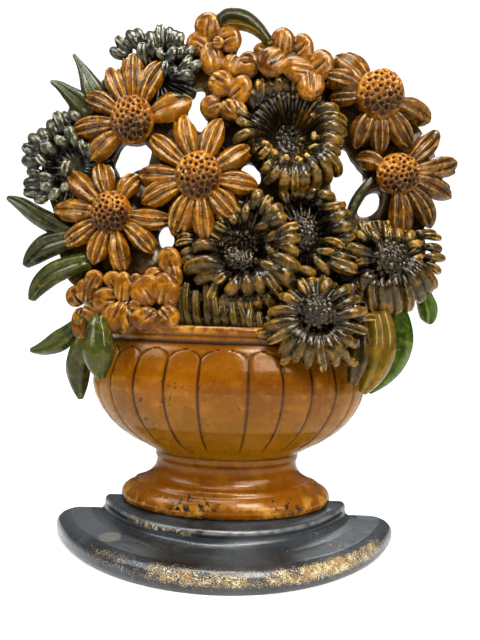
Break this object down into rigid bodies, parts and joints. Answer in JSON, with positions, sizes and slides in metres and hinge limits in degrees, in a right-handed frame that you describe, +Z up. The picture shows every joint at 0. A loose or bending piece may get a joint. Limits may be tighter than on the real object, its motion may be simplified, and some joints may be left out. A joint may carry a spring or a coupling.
{
  "type": "door stop",
  "caption": "Cast-iron door stop: a pierced relief of daisies, zinnias and leaves in a fluted half-round urn on a stepped half-moon plinth, with a flat back.",
  "frame": {"origin": "on the plinth's flat underside, in its back edge's plane, at the urn's middle", "axes": "+Z up from the floor, +X to the right seen from the front, the front faces -Y and the flat back lies in Y = 0"},
  "size_m": [0.2451, 0.0701, 0.2927],
  "materials": {
    "black_paint": "worn black paint over iron, satin, with cream and gold flecks",
    "orange_paint": "glossy aged orange enamel over iron, dark glaze in the grooves, small chips",
    "bouquet_paint": "glossy aged amber, olive-black and green paints over iron",
    "screw_steel": "darkened slotted steel screws"
  },
  "bodies": {
    "root": {"plinth_base": "black_paint", "urn_body": "orange_paint", "bouquet": "bouquet_paint", "plinth_screw_left": "screw_steel", "plinth_screw_right": "screw_steel", "bouquet_screw_left": "screw_steel", "bouquet_screw_right": "screw_steel"}
  },
  "joints": []
}
